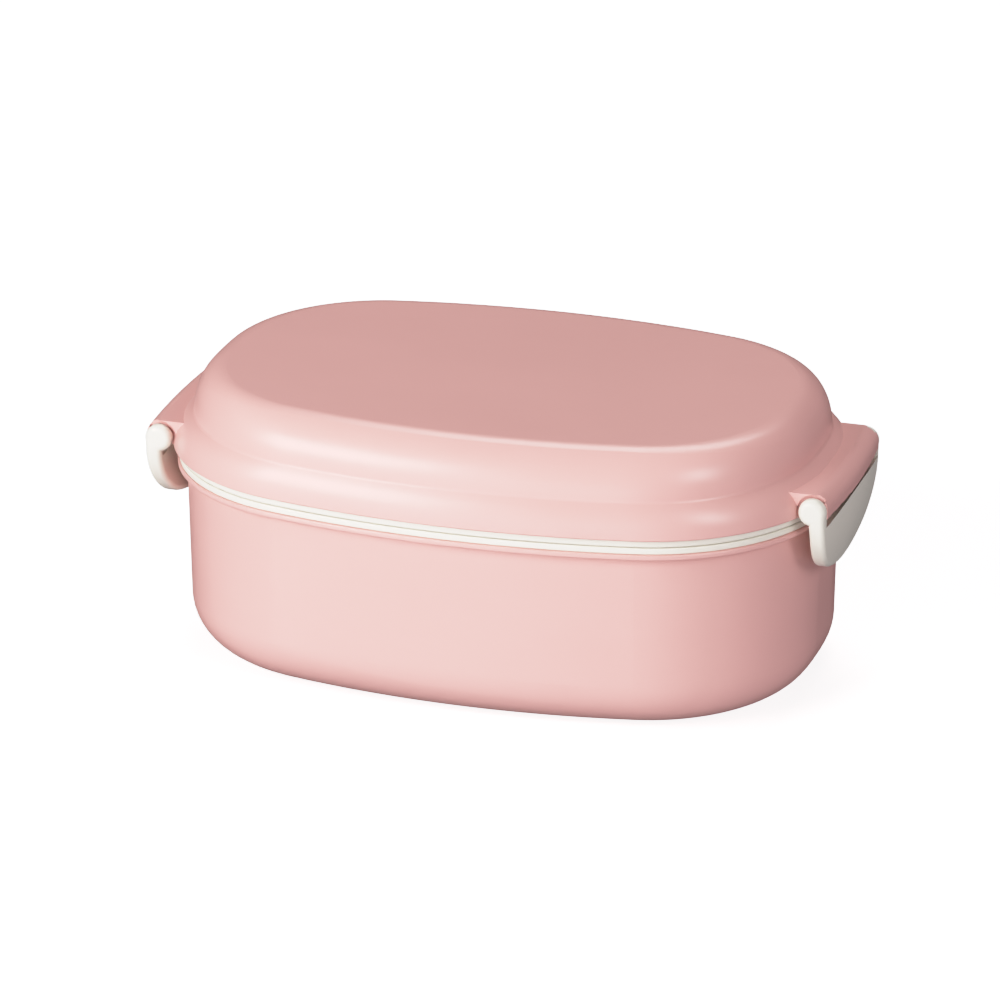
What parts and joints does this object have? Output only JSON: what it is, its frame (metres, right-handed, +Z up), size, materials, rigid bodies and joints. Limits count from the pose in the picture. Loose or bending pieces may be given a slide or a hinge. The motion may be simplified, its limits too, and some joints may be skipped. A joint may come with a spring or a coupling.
{
  "type": "bento lunch box",
  "caption": "Oval bento lunch box with a domed lid, wings with pivoting bail clips, an inner lid, an inner bowl, a divider and a side dish tray.",
  "frame": {"origin": "centre of the box's footprint, on the surface it stands on", "axes": "+X along the long side towards the right clip, +Y to the back, +Z up through the lid"},
  "size_m": [0.1764, 0.1132, 0.0722],
  "materials": {
    "shell_pink": "satin",
    "lid_pink": "satin",
    "bowl_white": "satin",
    "lid_white": "satin",
    "clip_white": "satin gloss",
    "silicone": "soft satin",
    "insert_white": "satin",
    "insert_pink": "satin"
  },
  "bodies": {
    "container": {"outer_shell": "shell_pink", "inner_bowl": "bowl_white"},
    "outer_lid": {"outer_lid": "lid_pink"},
    "clip_right": {"clip_right": "clip_white"},
    "clip_left": {"clip_left": "clip_white"},
    "inner_lid": {"inner_lid": "lid_white", "lid_gasket": "silicone"},
    "vent_plug": {"vent_plug": "silicone"},
    "divider": {"divider": "insert_white"},
    "side_dish_tray": {"side_dish_tray": "insert_pink"}
  },
  "joints": [
    {"name": "lid_lift", "type": "slide", "parent": "container", "child": "outer_lid", "axis": [0, 0, 1], "range_m": [0, 0.04]},
    {"name": "clip_right_swing", "type": "hinge", "parent": "outer_lid", "child": "clip_right", "pos_m": [0.0835, 0, 0.05445], "axis": [0, -1, 0], "range_deg": [0, 110]},
    {"name": "clip_left_swing", "type": "hinge", "parent": "outer_lid", "child": "clip_left", "pos_m": [-0.0835, 0, 0.05445], "axis": [0, 1, 0], "range_deg": [0, 110]},
    {"name": "inner_lid_lift", "type": "slide", "parent": "container", "child": "inner_lid", "axis": [0, 0, 1], "range_m": [0, 0.024]},
    {"name": "vent_plug_pull", "type": "slide", "parent": "inner_lid", "child": "vent_plug", "axis": [0, 0, 1], "range_m": [0, 0.006]},
    {"name": "divider_lift", "type": "slide", "parent": "container", "child": "divider", "axis": [0, 0, 1], "range_m": [0, 0.008]},
    {"name": "tray_lift", "type": "slide", "parent": "container", "child": "side_dish_tray", "axis": [0, 0, 1], "range_m": [0, 0.008]}
  ],
  "couplings": [
    {"joint": "clip_right_swing", "follows": "lid_lift", "rad_per_m": 47.99},
    {"joint": "clip_left_swing", "follows": "lid_lift", "rad_per_m": 47.99},
    {"joint": "inner_lid_lift", "follows": "lid_lift", "ratio": 0.6},
    {"joint": "divider_lift", "follows": "lid_lift", "ratio": 0.2},
    {"joint": "tray_lift", "follows": "lid_lift", "ratio": 0.2}
  ]
}
